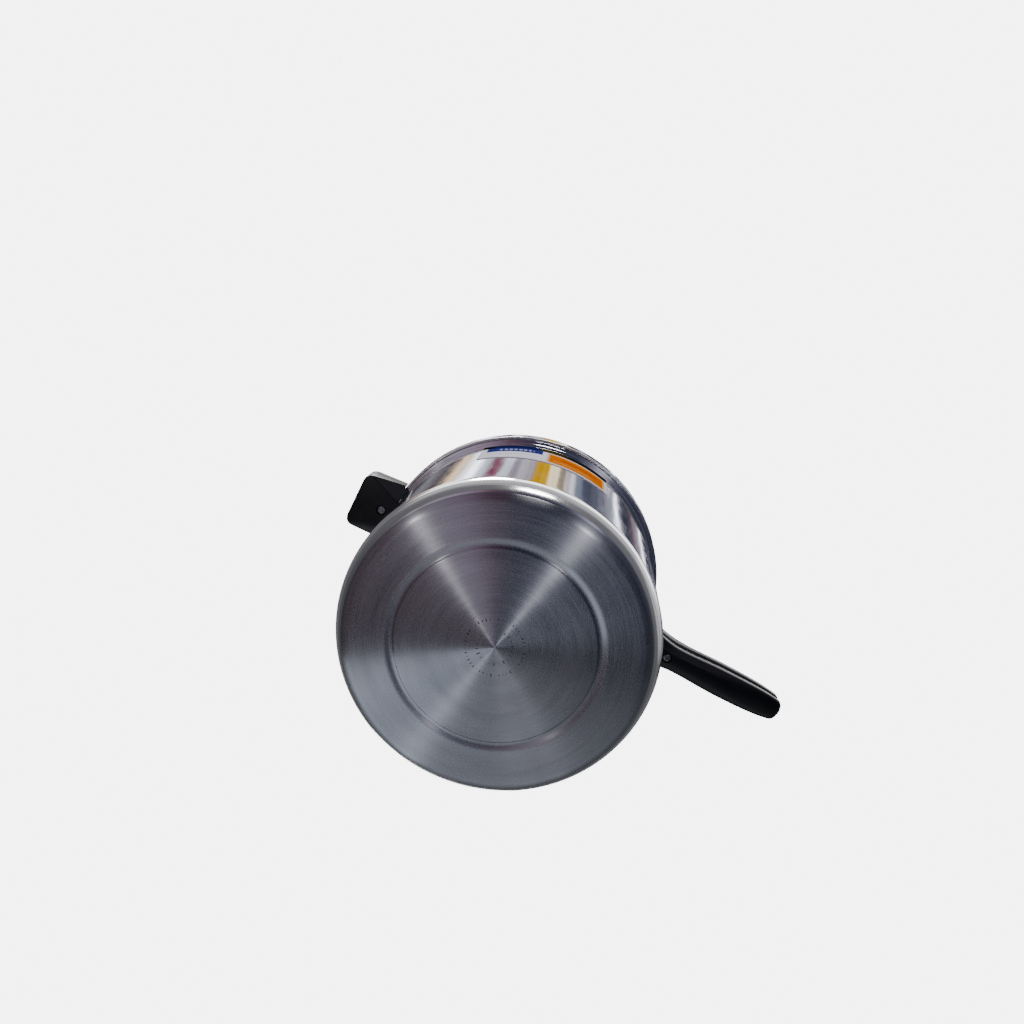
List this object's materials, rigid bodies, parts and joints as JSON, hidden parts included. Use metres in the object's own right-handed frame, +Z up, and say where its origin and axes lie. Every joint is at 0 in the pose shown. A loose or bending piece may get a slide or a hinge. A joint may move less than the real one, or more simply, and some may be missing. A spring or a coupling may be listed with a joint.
{
  "type": "stovetop pressure cooker",
  "caption": "Round aluminium stovetop pressure cooker: bayonet outer lid, long black handles, opposite helper handle, vent weight and safety plug.",
  "frame": {"origin": "centre of the flat base disc the cooker stands on", "axes": "+Z up through the pot's axis and the vent weight; +X along the long handles, away from the pot; +Y across"},
  "size_m": [0.417, 0.246, 0.256],
  "materials": {
    "pot_aluminium": "mirror polished wall, spun brushed base",
    "lid_aluminium": "polished, lightly brushed on top",
    "printed_strip": "printed colour bands without lettering",
    "bracket_steel": "satin",
    "fastener_steel": "bright zinc",
    "rivet_aluminium": "satin",
    "black_phenolic": "glossy moulded",
    "rubber": "matte",
    "brass": "satin",
    "fibre": "matte pressed fibre",
    "fusible_alloy": "dull cast",
    "regulator_steel": "turned"
  },
  "bodies": {
    "pot": {"pot_body": "pot_aluminium", "wall_label": "printed_strip", "handle_bracket": "bracket_steel", "handle_screw": "fastener_steel", "handle_nut": "fastener_steel", "handle_rivet_a": "rivet_aluminium", "handle_rivet_b": "rivet_aluminium", "helper_bracket": "bracket_steel", "helper_screw": "fastener_steel", "helper_nut": "fastener_steel", "helper_rivet_a": "rivet_aluminium", "helper_rivet_b": "rivet_aluminium", "pot_handle": "black_phenolic", "helper_handle": "black_phenolic"},
    "lid": {"lid_shell": "lid_aluminium", "sealing_ring": "rubber", "lid_handle": "black_phenolic", "lid_bracket": "bracket_steel", "lid_screw": "fastener_steel", "lid_nut": "fastener_steel", "lid_rivet_a": "rivet_aluminium", "lid_rivet_b": "rivet_aluminium", "vent_washer": "fibre", "vent_nut": "brass", "plug_washer": "fibre", "plug_nut": "brass", "vent_pipe": "brass", "plug_body": "brass", "plug_core": "fusible_alloy"},
    "regulator_core": {"regulator_needle": "regulator_steel"},
    "regulator": {"regulator_weight": "regulator_steel", "regulator_cap": "black_phenolic"}
  },
  "joints": [
    {"name": "lid_turn", "type": "hinge", "parent": "pot", "child": "lid", "pos_m": [0, 0, 0.18], "axis": [0, 0, 1], "range_deg": [-30, 0]},
    {"name": "regulator_lift", "type": "slide", "parent": "lid", "child": "regulator_core", "axis": [0, 0, 1], "range_m": [0, 0.024]},
    {"name": "regulator_spin", "type": "hinge", "parent": "regulator_core", "child": "regulator", "pos_m": [0, 0, 0.24], "axis": [0, 0, 1], "continuous": true}
  ]
}
